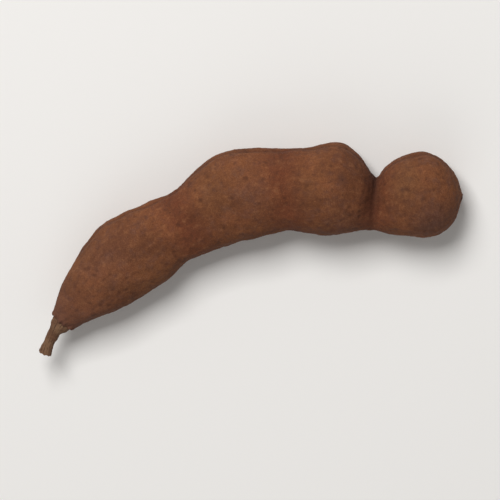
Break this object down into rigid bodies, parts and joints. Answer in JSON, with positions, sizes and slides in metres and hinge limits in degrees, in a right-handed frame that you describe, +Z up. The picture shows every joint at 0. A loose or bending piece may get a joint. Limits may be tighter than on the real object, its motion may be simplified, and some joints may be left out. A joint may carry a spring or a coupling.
{
  "type": "tamarind pod",
  "caption": "Whole ripe tamarind pod lying on its flat side: a bowed brown shell swelling over its seed chambers, a deep waist before the round tip chamber, and a short stalk.",
  "frame": {"origin": "on the surface that the pod lies on, below the middle of its bounding box", "axes": "+X towards the tip, +Y towards the back (the outer side of the bow), +Z up out of the side that it lies on"},
  "size_m": [0.1095, 0.0565, 0.0201],
  "materials": {
    "pod_shell": "matte brown dry shell with a fine scurf"
  },
  "bodies": {
    "root": {"pod": "pod_shell"}
  },
  "joints": []
}
